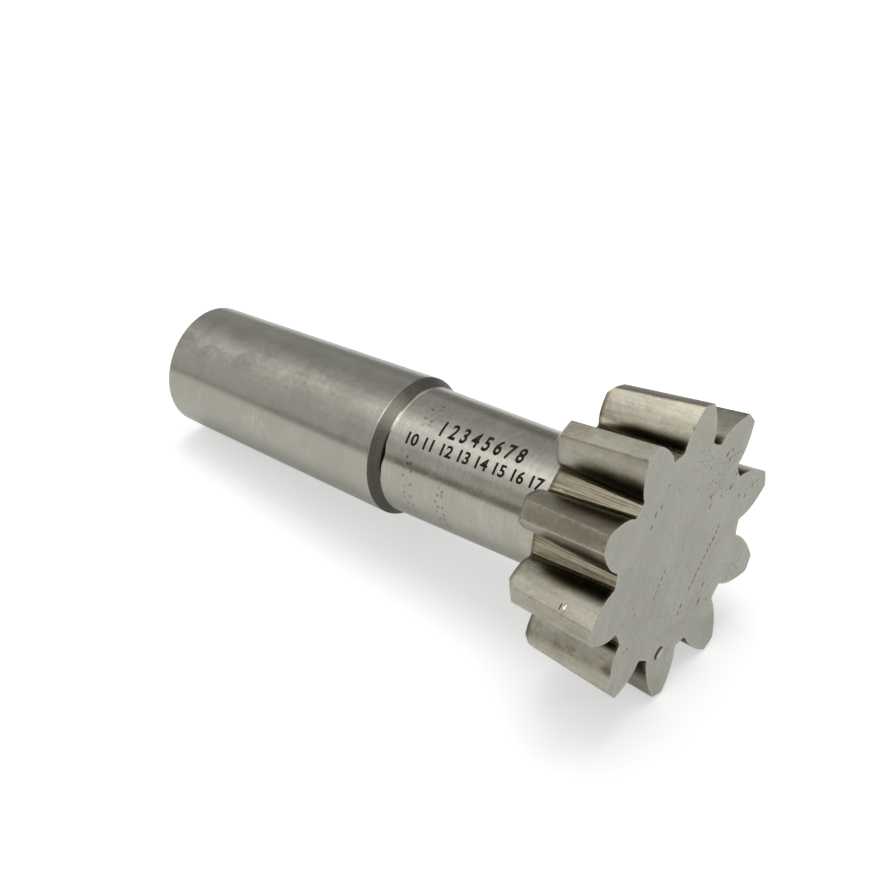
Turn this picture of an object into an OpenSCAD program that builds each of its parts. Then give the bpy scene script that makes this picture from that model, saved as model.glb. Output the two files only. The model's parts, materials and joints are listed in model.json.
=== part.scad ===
// Shank gear shaper cutter: a relieved involute head on a neck, with a short tapered shank.
// It lies on a level surface, on the back corners of its two lowest teeth and on the rim of its shank end.
// The head points to +X and the surface is at Z = 0.

/* [Tooth form] */
// Number of teeth
teeth = 10; // [8:1:14]
// Module of the teeth
tooth_module = 4; // [3.9:0.05:4.2]
// Pressure angle of the involute flanks, in degrees
pressure_angle = 30; // [28:0.5:30]
// Thickness of a tooth on the pitch circle, at the cutting edge
tooth_thickness = 7.3; // [6.6:0.1:7.8]
// Height of a tooth above the pitch circle, at the cutting edge
tooth_addendum = 3.65; // [2.5:0.05:3.9]
// Depth of a tooth space below the pitch circle, at the cutting edge
tooth_dedendum = 2.7; // [2:0.1:4]
// Radius in the corners of a tooth space
root_fillet = 0.5; // [0.1:0.1:0.8]

/* [Cutting head] */
// Length of the head along its axis
head_len = 16.4; // [10:0.1:25]
// Rake of the hollow cone that forms the front face, in degrees
face_rake = 5; // [0:0.5:8]
// Relief of the tooth tips, in degrees
top_relief = 6.4; // [2:0.1:8]
// Relief of each flank, in degrees
side_relief = 3.9; // [1:0.1:5]
// Relief of the floor of a tooth space, in degrees
root_relief = 4.5; // [1:0.1:8]
// Chamfer on the back corner of each tooth tip
tip_chamfer = 0.8; // [0.2:0.1:1.5]

/* [Neck] */
// Diameter of the neck
neck_d = 21.6; // [16:0.1:22.5]
// Length of the neck, from the head to the shoulder
neck_len = 34.1; // [15:0.1:60]
// Radius where the neck meets the back of the head
head_fillet = 1.5; // [0.2:0.1:2]
// Radius where the neck meets the shoulder
shoulder_fillet = 0.4; // [0.1:0.1:1.5]

/* [Shank] */
// Length of the cone between the neck and the shank
shoulder_len = 2.1; // [1:0.1:6]
// Diameter of the shank at its large end
shank_d = 23.825; // [23:0.005:26]
// Length of the tapered shank
shank_len = 48.4; // [35:0.1:60]
// Taper of the shank, as a length in which its diameter shrinks by one
shank_taper = 19.922; // [15:0.001:40]
// Radius on the rim of the shank end
end_radius = 0.5; // [0.2:0.1:1.5]

/* [Centre hole] */
// Diameter of the centre hole at the shank end
centre_d = 5.3; // [3:0.1:8]
// Angle of the centre cone, in degrees
centre_angle = 60; // [60:15:90]
// Diameter of the pilot drilling
pilot_d = 2.5; // [1:0.1:2.9]
// Depth of the centre hole with its pilot
centre_depth = 5.5; // [4:0.1:12]

/* [Hidden] */
$fn = 96;

// Steps along the tip, flank, fillet and floor of half a tooth
tip_steps = 2;
flank_steps = 9;
fillet_steps = 3;
floor_steps = 2;
// Steps along each turned radius
radius_steps = 6;

pitch_r = tooth_module * teeth / 2;
base_r = pitch_r * cos(pressure_angle);
half_pitch = 180 / teeth;
rad = 180 / PI;

// Sizes that the relief changes with the distance back from the cutting edge
function tip_r(back) = pitch_r + tooth_addendum - back * tan(top_relief);
function root_r(back) = pitch_r - tooth_dedendum - back * tan(root_relief);
function thickness(back) = tooth_thickness - 2 * back * tan(side_relief);

// Involute of an angle in degrees, and the flank's pressure angle at radius r
function inv(angle) = tan(angle) * rad - angle;
function flank_angle(r) = acos(min(1, base_r / r));

// Half the angle that a tooth takes at radius r, and the same on the base circle
function half_angle_base(back) = thickness(back) / (2 * pitch_r) * rad + inv(pressure_angle);
function half_angle(r, back) = half_angle_base(back) - inv(flank_angle(r));

function polar(r, angle) = [r * cos(angle), r * sin(angle)];

// The fillet's centre keeps its distance from the involute, or from the radial line below the base circle
function fillet_r(back) = root_r(back) + root_fillet;
function on_involute(back) = fillet_r(back) > norm([base_r, root_fillet]);
function touch_r(back) = on_involute(back)
    ? norm([base_r, sqrt(pow(fillet_r(back), 2) - pow(base_r, 2)) - root_fillet])
    : sqrt(pow(fillet_r(back), 2) - pow(root_fillet, 2));
function fillet_centre_angle(back) = on_involute(back)
    ? half_angle(fillet_r(back), back) + root_fillet / base_r * rad
    : half_angle_base(back) + asin(root_fillet / fillet_r(back));

function fillet_points(back) =
    let (
        centre = polar(fillet_r(back), fillet_centre_angle(back)),
        touch = polar(touch_r(back), half_angle(touch_r(back), back)),
        from = atan2(touch[1] - centre[1], touch[0] - centre[0]),
        to = fillet_centre_angle(back) - 180
    )
    [for (i = [1:fillet_steps]) centre + polar(root_fillet, from + (to - from) * i / fillet_steps)];

// Half a tooth, from the middle of its tip to the middle of the next space
function half_tooth(back, tip_cut) =
    let (
        top = tip_r(back) - tip_cut,
        low = touch_r(back),
        land = half_angle(top, back),
        floor_start = fillet_centre_angle(back)
    )
    concat(
        [for (i = [0:tip_steps - 1]) polar(top, land * i / tip_steps)],
        [for (i = [0:flank_steps])
            let (r = top + (low - top) * i / flank_steps)
            polar(r, half_angle(r, back))],
        fillet_points(back),
        [for (i = [1:floor_steps])
            polar(root_r(back), floor_start + (half_pitch - floor_start) * i / floor_steps)]
    );

// Points [x, y, back], where back is the distance behind the cutting edges
function turned(p, angle) = [p[0] * cos(angle) - p[1] * sin(angle), p[0] * sin(angle) + p[1] * cos(angle), p[2]];
function mirrored(half) = [for (i = [len(half) - 2:-1:1]) [half[i][0], -half[i][1], half[i][2]]];

// Half a tooth on a flat section, and on the hollow cone of the front face, where the cutting edge lies
function flat_half(back, tip_cut) = [for (p = half_tooth(back, tip_cut)) [p[0], p[1], back]];
function edge_half() =
    let (flat = half_tooth(0, 0))
    [for (i = [0:len(flat) - 1])
        let (
            back = (tip_r(0) - norm(flat[i])) * tan(face_rake),
            p = half_tooth(back, tip_r(back) - tip_r(0))[i]
        )
        [p[0], p[1], back]];

// All the teeth from one half tooth, with a tooth space along +X
function ring(half) =
    let (tooth = concat(mirrored(half), half))
    [for (k = [0:teeth - 1]) for (p = tooth)
        let (q = turned(p, (2 * k + 1) * half_pitch))
        [q[0], q[1], -q[2]]];

head_back = head_len - tip_chamfer;

// Places of the shank's parts along the axis, back from the cutting edges
neck_end = head_len + neck_len;
shank_start = neck_end + shoulder_len;
total_len = shank_start + shank_len;
neck_r = neck_d / 2;
shank_r = shank_d / 2;
end_r = shank_r - shank_len / shank_taper / 2;
centre_cone = (centre_d - pilot_d) / 2 / tan(centre_angle / 2);

// What the cutter can lie on: distance back from the cutting edges, and depth below the axis
function tip_drop(back) = tip_r(back) * cos(half_pitch - half_angle(tip_r(back), back));
rests = [[0, tip_drop(0)], [head_back, tip_drop(head_back)], [shank_start, shank_r]];
function lean_on(rest) =
    let (run = total_len - end_radius - rest[0], rise = rest[1] - end_r + end_radius)
    atan2(rise, run) - asin(end_radius / norm([run, rise]));
lean = max([for (rest = rests) lean_on(rest)]);
axis_height = max([for (rest = rests) rest[0] * sin(lean) + rest[1] * cos(lean)]);
reach_front = tip_drop(0) * sin(lean);
reach_back = (total_len - end_radius) * cos(lean) + (end_r - end_radius) * sin(lean) + end_radius;

// Points on half a tooth, on a whole one, and the half tooth's last point on the fillet
half_count = tip_steps + flank_steps + fillet_steps + floor_steps + 1;
tooth_count = 2 * half_count - 2;
fillet_end = tip_steps + flank_steps + fillet_steps;

// Number in a ring of point n of a half tooth, on either side of tooth k
function on_side(k, n, side) = ((k % teeth) * tooth_count + half_count - 2 + side * n);

// One end of the loft: rungs across each tooth, and a fan from the centre to the tooth bases and the space floors
function end_faces(first, centre) = concat(
    [for (k = [0:teeth - 1]) for (n = [1:fillet_end - 1])
        [first + on_side(k, n, 1), first + on_side(k, n, -1), first + on_side(k, n + 1, 1)]],
    [for (k = [0:teeth - 1]) for (n = [1:fillet_end])
        [first + on_side(k, n, -1), first + on_side(k, n, 1), first + on_side(k, n - 1, -1)]],
    [for (k = [0:teeth - 1]) [centre, first + on_side(k, fillet_end, 1), first + on_side(k, fillet_end, -1)]],
    [for (k = [0:teeth - 1]) for (n = [fillet_end:half_count - 2])
        [centre, first + on_side(k, n + 1, 1), first + on_side(k, n, 1)]],
    [for (k = [0:teeth - 1])
        [centre, first + on_side(k + 1, half_count - 2, -1), first + on_side(k, half_count - 1, 1)]],
    [for (k = [0:teeth - 1]) for (n = [fillet_end:half_count - 3])
        [centre, first + on_side(k, n, -1), first + on_side(k, n + 1, -1)]]
);
function flipped(faces) = [for (f = faces) [f[2], f[1], f[0]]];

module loft(rings, front_centre, back_centre) {
    count = len(rings[0]);
    last = len(rings) - 1;
    points = concat([for (r = rings) each r], [front_centre, back_centre]);
    sides = [for (j = [0:last - 1]) for (i = [0:count - 1])
        let (a = j * count + i, b = j * count + (i + 1) % count)
        each [[a, b, a + count], [b, b + count, a + count]]];
    polyhedron(
        points = points,
        faces = concat(end_faces(0, len(points) - 2), sides, flipped(end_faces(last * count, len(points) - 1))),
        convexity = 10
    );
}

module head() {
    rings = [
        ring(edge_half()),
        ring(flat_half(head_len / 3, 0)),
        ring(flat_half(head_len * 2 / 3, 0)),
        ring(flat_half(head_back, 0)),
        ring(flat_half(head_len, tip_chamfer))
    ];
    loft(rings, [0, 0, -tip_r(0) * tan(face_rake)], [0, 0, -head_len]);
}

// Points of an arc around a centre in the turned profile, both angles in degrees
function arc(centre, r, from, to) =
    [for (i = [0:radius_steps]) centre + polar(r, from + (to - from) * i / radius_steps)];

module shank_profile() {
    head_overlap = head_len / 2;
    shoulder_angle = atan2(shank_r - neck_r, shoulder_len);
    // The small fillet leaves the neck this far before the shoulder's cone
    fillet_run = shoulder_fillet * tan(shoulder_angle / 2);
    polygon(concat(
        [[0, -head_overlap], [neck_r + head_fillet, -head_overlap]],
        arc([neck_r + head_fillet, -head_len - head_fillet], head_fillet, 90, 180),
        arc([neck_r + shoulder_fillet, -neck_end + fillet_run], shoulder_fillet, 180, 180 + shoulder_angle),
        [[shank_r, -shank_start]],
        arc([end_r - end_radius, -total_len + end_radius], end_radius, 0, -90),
        [[0, -total_len]]
    ));
}

module centre_hole() {
    translate([0, 0, -total_len]) {
        cylinder(h = centre_depth, d = pilot_d);
        translate([0, 0, -0.01])
            cylinder(h = centre_cone + 0.01, d1 = centre_d + 0.02 * tan(centre_angle / 2), d2 = pilot_d);
        // The drill's point
        translate([0, 0, centre_depth])
            cylinder(h = pilot_d / 2 / tan(59), d1 = pilot_d, d2 = 0);
    }
}

module cutter() {
    color([0.62, 0.61, 0.58])
        translate([(reach_back - reach_front) / 2, 0, axis_height])
            rotate([0, 90 - lean, 0])
                difference() {
                    union() {
                        head();
                        rotate_extrude()
                            shank_profile();
                    }
                    centre_hole();
                }
}

cutter();
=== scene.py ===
# Shank gear shaper cutter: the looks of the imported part, in metres, in its own frame
import json
import random
from math import acos, asin, atan2, copysign, cos, degrees, hypot, pi, radians, sin, sqrt, tan
import bpy
import bmesh
from mathutils import Matrix, Vector

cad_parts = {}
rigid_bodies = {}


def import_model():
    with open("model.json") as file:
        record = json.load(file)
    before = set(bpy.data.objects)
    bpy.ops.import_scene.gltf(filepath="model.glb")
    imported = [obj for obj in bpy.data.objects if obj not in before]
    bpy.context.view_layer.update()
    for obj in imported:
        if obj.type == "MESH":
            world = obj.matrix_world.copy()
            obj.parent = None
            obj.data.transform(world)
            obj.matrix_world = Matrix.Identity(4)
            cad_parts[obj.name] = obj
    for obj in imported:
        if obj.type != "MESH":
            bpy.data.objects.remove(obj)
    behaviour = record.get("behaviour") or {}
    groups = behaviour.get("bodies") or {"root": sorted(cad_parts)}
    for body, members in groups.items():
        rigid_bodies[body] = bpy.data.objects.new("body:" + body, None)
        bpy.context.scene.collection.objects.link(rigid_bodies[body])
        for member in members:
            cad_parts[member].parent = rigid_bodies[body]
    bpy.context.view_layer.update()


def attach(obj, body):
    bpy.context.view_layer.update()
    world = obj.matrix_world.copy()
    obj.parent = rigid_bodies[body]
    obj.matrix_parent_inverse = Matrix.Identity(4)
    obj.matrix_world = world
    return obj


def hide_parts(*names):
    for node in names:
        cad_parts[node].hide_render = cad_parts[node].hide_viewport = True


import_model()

mm = 0.001

# The cutter's sizes in millimetres and degrees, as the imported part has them
cutter = dict(
    teeth=10, module=4.0, pressureAngle=30.0, toothThickness=7.3,
    tipDiameter=47.3, rootDiameter=34.6, rootFillet=0.5,
    headLength=16.4, faceRake=5.0, topRelief=6.4, sideRelief=3.9, rootRelief=4.5, tipChamfer=0.8,
    neckDiameter=21.6, neckLength=34.1, headFillet=1.5, shoulderFillet=0.4, shoulderLength=2.1,
    shankDiameter=23.825, shankLength=48.4, shankTaper=19.922, endRadius=0.5,
    centreDiameter=5.3, centreAngle=60.0, pilotDiameter=2.5, pilotPoint=118.0, centreDepth=5.5,
)
# How it lies: the axis dips towards the shank end, and this is where the axis leaves the front face
lying = dict(lean=7.0752339, frontX=49.337333, axisHeight=22.998949)
# How finely the mesh is cut; a tip has as many columns as the rungs across a tooth. The shares are where the
# last column of the tip and the first of the flank lie, close to the corner between them
fineness = dict(tip=4, flank=22, fillet=5, floor=12, faceRings=13, hubRadius=0.4, backRings=4,
                tipShare=0.955, flankShare=0.012, edgeBreak=0.04)

# Local millimetres: x down, y across, z towards the head, 0 at the cutting edges
tilted = radians(90 - lying["lean"])
place = (Matrix.Translation((lying["frontX"] * mm, 0, lying["axisHeight"] * mm))
         @ Matrix.Rotation(tilted, 4, "Y") @ Matrix.Scale(mm, 4))


def tanDeg(angle):
    return tan(radians(angle))


def involute(angle):
    return tan(angle) - angle


# Tooth form, seen along the axis; back is the distance behind the cutting edges
pitchR = cutter["module"] * cutter["teeth"] / 2
baseR = pitchR * cos(radians(cutter["pressureAngle"]))
halfPitch = pi / cutter["teeth"]
headLength = cutter["headLength"]
neckR = cutter["neckDiameter"] / 2
partLength = sum(cutter[k] for k in ("headLength", "neckLength", "shoulderLength", "shankLength"))


def tipR(back):
    return cutter["tipDiameter"] / 2 - back * tanDeg(cutter["topRelief"])


def rootR(back):
    return cutter["rootDiameter"] / 2 - back * tanDeg(cutter["rootRelief"])


def coneDepth(r):
    return (tipR(0) - r) * tanDeg(cutter["faceRake"])


def baseHalfAngle(back):
    thickness = cutter["toothThickness"] - 2 * back * tanDeg(cutter["sideRelief"])
    return thickness / (2 * pitchR) + involute(radians(cutter["pressureAngle"]))


def halfAngle(r, back):
    return baseHalfAngle(back) - involute(acos(min(1.0, baseR / r)))


def filletAt(back):  # radius and angle of the fillet's centre, and the radius where it meets the flank
    rho = cutter["rootFillet"]
    r = rootR(back) + rho
    if r > hypot(baseR, rho):
        return r, halfAngle(r, back) + rho / baseR, hypot(baseR, sqrt(r * r - baseR * baseR) - rho)
    return r, baseHalfAngle(back) + asin(rho / r), sqrt(r * r - rho * rho)


def toothPoint(zone, t, back, tipCut):  # radius, and angle from the middle of the tooth
    top = tipR(back) - tipCut
    filletR, filletAngle, touchR = filletAt(back)
    if zone == "tip":
        return top, halfAngle(top, back) * t
    if zone == "flank":
        r = top + (touchR - top) * t
        return r, halfAngle(r, back)
    if zone == "floor":
        return rootR(back), filletAngle + (halfPitch - filletAngle) * t
    rho = cutter["rootFillet"]
    cx, cy = filletR * cos(filletAngle), filletR * sin(filletAngle)
    touchAngle = halfAngle(touchR, back)
    start = atan2(touchR * sin(touchAngle) - cy, touchR * cos(touchAngle) - cx)
    turn = start + (filletAngle - pi - start) * t
    x, y = cx + rho * cos(turn), cy + rho * sin(turn)
    return hypot(x, y), atan2(y, x)


# Half a tooth from the middle of its tip to the middle of the next space
flankShare = fineness["flankShare"]
halfTooth = ([("tip", i / fineness["tip"]) for i in range(fineness["tip"])] + [("tip", fineness["tipShare"])]
             + [("flank", flankShare + (1 - flankShare) * i / fineness["flank"])
                for i in range(fineness["flank"] + 1)]
             + [("fillet", (i + 1) / fineness["fillet"]) for i in range(fineness["fillet"])]
             + [("floor", (i + 1) / fineness["floor"]) for i in range(fineness["floor"])])
tipEnd = fineness["tip"]
filletEnd = tipEnd + fineness["flank"] + 1 + fineness["fillet"]
floorEnd = len(halfTooth) - 1


def sectionPoint(column, b, tipCut=0.0):
    zone, t = halfTooth[abs(column)]
    back = b
    for _ in range(4):
        r, angle = toothPoint(zone, t, back, tipCut)
        back = coneDepth(r) * (1 - b / headLength) + b
    return r, copysign(angle, column), back


def polarPoint(r, angle, back):
    return Vector((r * cos(angle), r * sin(angle), -back))


# One tooth with half a space on each side, closed front and back
def toothSector():
    points, faces, regions = [], [], []

    def add(p):
        points.append(p)
        return len(points) - 1

    def strip(a, b, tags):
        for i in range(len(a) - 1):
            faces.append((a[i], a[i + 1], b[i + 1], b[i]))
            regions.append(tags[i])

    columns = list(range(-floorEnd, floorEnd + 1))
    flankEnd = filletEnd - fineness["fillet"]
    tags = ["root" if min(abs(c), abs(c + 1)) >= flankEnd else "flank" for c in columns[:-1]]
    backStart = headLength - cutter["tipChamfer"]
    # how far back the rows of points lie
    rows = [fineness["edgeBreak"], 0.25, 1.0, 2.4, 4.0, 5.8, 7.6, 9.4, 11.2, 12.8, 14.2, 15.2, backStart]
    flat = [polarPoint(*sectionPoint(c, 0)) for c in columns]
    faceRing = []
    for i, c in enumerate(columns):  # the cutting edge is broken by a few hundredths
        here = flat[i].xy
        before = flat[i - 1].xy if i else Vector((0, 0))
        after = flat[i + 1].xy if i < len(flat) - 1 else Vector((0, 0))
        if i in (0, len(flat) - 1):
            inward = -here.normalized()
        else:
            way = (after - here).normalized() + (here - before).normalized()
            inward = Vector((-way.y, way.x)).normalized()
        spot = here + inward * fineness["edgeBreak"]
        faceRing.append(add(Vector((spot.x, spot.y, -coneDepth(spot.length)))))
    last = faceRing
    for b in rows:
        ring = [add(polarPoint(*sectionPoint(c, b))) for c in columns]
        strip(last, ring, tags)
        last = ring
    backRing = [add(polarPoint(*sectionPoint(c, headLength, cutter["tipChamfer"]))) for c in columns]
    strip(last, backRing, tags)

    def endFace(ring, region, depthAt, innerR, rings):
        middle = floorEnd
        row = ring[middle - tipEnd:middle + tipEnd + 1]
        for n in range(tipEnd + 1, filletEnd + 1):
            left, right = points[ring[middle - n]], points[ring[middle + n]]
            r, a, steps = left.xy.length, atan2(left.y, left.x), 2 * tipEnd
            wide = atan2(right.y, right.x) - a
            inner = [add(polarPoint(r, a + wide * i / steps, depthAt(r))) for i in range(1, steps)]
            fresh = [ring[middle - n]] + inner + [ring[middle + n]]
            strip(row, fresh, [region] * len(fresh))
            row = fresh
        row = ring[:middle - filletEnd] + row + ring[middle + filletEnd + 1:]
        starts = [(points[i].xy.length, atan2(points[i].y, points[i].x)) for i in row]
        for k in range(1, rings + 1):
            s = k / rings
            fresh = []
            for i, (r, a) in enumerate(starts):
                even = -halfPitch + 2 * halfPitch * i / (len(starts) - 1)
                radius = r + (innerR - r) * s
                fresh.append(add(polarPoint(radius, a + (even - a) * min(1, 1.5 * s), depthAt(radius))))
            strip(row, fresh, [region] * len(fresh))
            row = fresh
        return row

    hub = endFace(faceRing, "face", coneDepth, fineness["hubRadius"], fineness["faceRings"])
    apex = add(Vector((0, 0, -coneDepth(0))))
    for i in range(len(hub) - 1):
        faces.append((hub[i], hub[i + 1], apex))
        regions.append("face")
    endFace(backRing, "back", lambda r: headLength, neckR + cutter["headFillet"], fineness["backRings"])
    return points, faces, regions


class Wire:  # one result of a node; sums with it become Math or Vector Math nodes
    def __init__(self, socket):
        self.socket, self.tree = socket, socket.id_data

    def other(self, name):  # another result of the same node
        return Wire(self.socket.node.outputs[name])

    def maths(self, kind, value=0.0):
        return addNode(self.tree, "ShaderNodeMath", {0: self, 1: value}, operation=kind)

    def vector(self, kind, value=None, out=0):
        inputs = {0: self} if value is None else {0: self, 1: value}
        return addNode(self.tree, "ShaderNodeVectorMath", inputs, out, operation=kind)

    def reckon(self, kind, value):
        return (self.vector if self.socket.type in ("VECTOR", "RGBA") else self.maths)(kind, value)

    def __add__(self, value):
        return self.reckon("ADD", value)

    def __sub__(self, value):
        return self.reckon("SUBTRACT", value)

    def __rsub__(self, value):
        return addNode(self.tree, "ShaderNodeMath", {0: value, 1: self}, operation="SUBTRACT")

    def __mul__(self, value):
        return self.reckon("MULTIPLY", value)


def feed(node, inputs):  # a wire is linked, a plain value is set
    for name, value in inputs.items():
        if isinstance(value, Wire):
            value.tree.links.new(value.socket, node.inputs[name])
        else:
            node.inputs[name].default_value = value


def addNode(tree, kind, inputs=None, out=0, **settings):
    made = tree.nodes.new(kind)
    for name, value in settings.items():
        setattr(made, name, value)
    feed(made, inputs or {})
    return Wire(made.outputs[out]) if len(made.outputs) else made


def noise(where, scale, detail, rough=0.55, warp=0.0):
    return addNode(where.tree, "ShaderNodeTexNoise", {
        "Vector": where, "Scale": scale, "Detail": detail, "Roughness": rough, "Distortion": warp})


def ramp(value, low, high, outLow=0.0, outHigh=1.0, kind="SMOOTHSTEP"):
    return addNode(value.tree, "ShaderNodeMapRange", {
        "Value": value, "From Min": low, "From Max": high, "To Min": outLow, "To Max": outHigh},
        interpolation_type=kind)


def mix(factor, a, b):  # sockets 0, 6 and 7 are the factor and the two colours, and result 2 is the colour
    a, b = (c if isinstance(c, Wire) else (*c, 1) for c in (a, b))
    return addNode(factor.tree, "ShaderNodeMix", {0: factor, 6: a, 7: b}, 2, data_type="RGBA")


def scaled(value, factor):
    return addNode(factor.tree, "ShaderNodeVectorMath", {0: value, "Scale": factor}, operation="SCALE")


def named(tree, name, kind):
    return addNode(tree, "GeometryNodeInputNamedAttribute", {"Name": name}, data_type=kind)


def carried(tree, name):  # a value that the points of the mesh carry
    return addNode(tree, "ShaderNodeAttribute", out="Fac", attribute_name=name)


def finishLabel(name):
    return name.capitalize() + " finish"


def newTree(name, sockets, finished):  # finished are the finishes that it lays
    tree = bpy.data.node_groups.new(name, "GeometryNodeTree")
    tree.interface.new_socket("Geometry", in_out="OUTPUT", socket_type="NodeSocketGeometry")
    materials = {finishLabel(n): "Material" for n in finished}
    for label, kind in {"Geometry": "Geometry", **sockets, **materials}.items():
        tree.interface.new_socket(label, in_out="INPUT", socket_type="NodeSocket" + kind)
    return tree, Wire(tree.nodes.new("NodeGroupInput").outputs[0]), tree.nodes.new("NodeGroupOutput")


def layFinishes(solid, start, attribute, finished):  # by the whole number that each face carries
    whole = named(solid.tree, attribute, "INT")
    for number, name in enumerate(finished):
        chosen = addNode(solid.tree, "FunctionNodeCompare", {2: whole, 3: number},
                         data_type="INT", operation="EQUAL")
        solid = addNode(solid.tree, "GeometryNodeSetMaterial", {
            "Geometry": solid, "Selection": chosen, "Material": start.other(finishLabel(name))})
    return solid


def plainResult(piece):
    deps = bpy.context.evaluated_depsgraph_get()
    deps.update()
    return bpy.data.meshes.new_from_object(
        piece.evaluated_get(deps), preserve_all_data_layers=True, depsgraph=deps)


def useTree(piece, tree, values, finished):  # sets the inputs by identifier, gives back the plain result
    values = {**values, **{finishLabel(n): finishOf[n] for n in finished}}
    made = piece.modifiers.new(tree.name, "NODES")
    made.node_group = tree
    for item in tree.interface.items_tree:
        if item.item_type == "SOCKET" and item.in_out == "INPUT" and item.name in values:
            made[item.identifier] = values[item.name]
    result = plainResult(piece)
    piece.modifiers.remove(made)
    return result


def link(name, data):
    made = bpy.data.objects.new(name, data)
    bpy.context.scene.collection.objects.link(made)
    return made


def newMesh(name, points, faces=()):
    mesh = bpy.data.meshes.new(name)
    mesh.from_pydata(points, [], faces)
    return mesh


def meshOf(name, bm):
    mesh = bpy.data.meshes.new(name)
    bm.to_mesh(mesh)
    bm.free()
    return mesh


def keepOn(mesh, name, values, kind="FLOAT", domain="POINT"):
    made = mesh.attributes.new(name, kind, domain)
    made.data.foreach_set("vector" if kind == "FLOAT_VECTOR" else "value", values)


# Finishes. Colours are linear; streak is the way the tool marks run, show is how much they darken
plainFinish = dict(warmth=0.3, show=0.0, streak="around", streakDepth=0.0, shadeAndSootShare=0.0, spread=0.0, wear=0.0)
finishes = dict(
    flank=dict(
        base=(0.455, 0.437, 0.365), dark=(0.36, 0.338, 0.27), warm=(0.425, 0.375, 0.27), warmth=0.4, show=0.2,
        glint=0.4, shadedTint=(1.36, 1.57, 1.95), rough=(0.24, 0.38), streak="along", streakDepth=0.0012,
        mottle=0.0022, shadeAndSootShare=1.0, wear=0.5),
    root=dict(
        base=(0.53, 0.49, 0.375), dark=(0.43, 0.39, 0.29), line=(0.085, 0.068, 0.038), lineAt=(0.42, 0.49),
        fine=105, scored=(0.25, 0.215, 0.145), warm=(0.42, 0.35, 0.22), warmth=0.4, show=0.75, glint=0.35,
        rough=(0.28, 0.42), streak="along", streakDepth=0.05, mottle=0.002, shadeAndSootShare=1.0, wear=0.3),
    face=dict(
        base=(0.475, 0.47, 0.415), dark=(0.415, 0.408, 0.355), warm=(0.45, 0.43, 0.35), warmth=0.25,
        show=0.10, fleck=0.25, relief=2.5, rough=(0.40, 0.56), streak="face", streakDepth=0.006, mottle=0.10,
        wear=0.5),
    back=dict(
        base=(0.36, 0.35, 0.30), dark=(0.28, 0.265, 0.215), warm=(0.35, 0.31, 0.23), warmth=0.35, show=0.35,
        rough=(0.34, 0.48), streak="rings", streakDepth=0.006, mottle=0.003, shadeAndSootShare=0.5, spread=0.5, wear=0.4),
    neck=dict(
        base=(0.505, 0.495, 0.435), dark=(0.445, 0.433, 0.372), warm=(0.42, 0.37, 0.28), warmth=0.35,
        show=0.16, shadedTint=(1, 1, 0.97), lit=(0.95, 0.95, 0.98), rough=(0.18, 0.25), streakDepth=0.0028,
        mottle=0.0008, shadeAndSootShare=0.75, spread=0.85, wear=0.4, rusty=0.75),
    # shoulder: the same steel made far darker, a painted shade for the dark that the cone reflects
    shoulder=dict(
        base=(0.108, 0.105, 0.090), dark=(0.082, 0.079, 0.065), warm=(0.105, 0.095, 0.072), show=0.15,
        fleck=0.3, rough=(0.36, 0.5), streakDepth=0.002, mottle=0.01, shadeAndSootShare=0.85, spread=0.3, wear=0.5),
    shank=dict(
        base=(0.445, 0.438, 0.38), dark=(0.40, 0.39, 0.335), warm=(0.44, 0.405, 0.32), show=0.03,
        rough=(0.16, 0.24), streakDepth=0.0006, mottle=0.0007, shadeAndSootShare=0.5, spread=0.93, wear=0.25,
        smeared=0.26),
    end=dict(
        base=(0.40, 0.392, 0.34), dark=(0.335, 0.325, 0.275), warm=(0.39, 0.355, 0.28), show=0.35,
        rough=(0.32, 0.44), streak="rings", streakDepth=0.005, mottle=0.003, shadeAndSootShare=0.4, spread=0.5, wear=0.2),
    hole=dict(
        base=(0.27, 0.26, 0.22), dark=(0.13, 0.12, 0.09), warm=(0.28, 0.23, 0.15), warmth=0.4, show=0.3,
        rough=(0.38, 0.5), streakDepth=0.01, mottle=0.002, shadeAndSootShare=0.6, spread=0.3, wear=0.4),
    pit=dict(
        base=(0.42, 0.415, 0.37), dark=(0.37, 0.362, 0.32), warm=(0.39, 0.375, 0.32), shadedTint=(1, 1.02, 1.08),
        rough=(0.45, 0.65), mottle=0.01),
    # dent: lighter than the flank, bare metal with a painted highlight
    dent=dict(
        base=(0.62, 0.60, 0.52), dark=(0.50, 0.48, 0.40), warm=(0.5, 0.45, 0.34), rough=(0.36, 0.50),
        mottle=0.004),
    # nick: near black, for the face's nicks and dashes; behind the flank's dent it stands as a painted shadow
    nick=dict(
        base=(0.085, 0.078, 0.060), dark=(0.035, 0.03, 0.02), warm=(0.10, 0.085, 0.055), warmth=0.5,
        rough=(0.45, 0.6), mottle=0.006),
    mark=dict(
        base=(0.010, 0.009, 0.007), dark=(0.006, 0.005, 0.004), warm=(0.016, 0.013, 0.009), rough=(0.5, 0.65),
        streakDepth=0.001, mottle=0.002),
)
# Faint rust spots round the neck: bands as distance back and half width, and their span in degrees round
# from the top
rustSpots = dict(bands=((45.0, 1.15, -12, 30), (45.0, 1.15, 52, 142), (38.1, 1.3, 68, 136)),
                 apart=1.1, size=0.33, colour=(0.17, 0.145, 0.105))
# Where something wiped the shank: distance back, degrees round, and how far it reaches
shankSmear = dict(back=78.0, around=84.0, reach=5.5, colour=(0.62, 0.61, 0.56))
# Bright flecks on the flanks, and the two colours of the painted shade and grime in the corners
over = dict(glint=(0.66, 0.61, 0.47), brown=(0.125, 0.10, 0.06), black=(0.014, 0.011, 0.006))
faceSlant = radians(-47)  # the way the front face was ground


def roundPart(angle):  # degrees round from the top, on the camera's side, as millimetres in the UVs
    return ((angle + 162) % 360) / 360 * pi * cutter["neckDiameter"]


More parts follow.
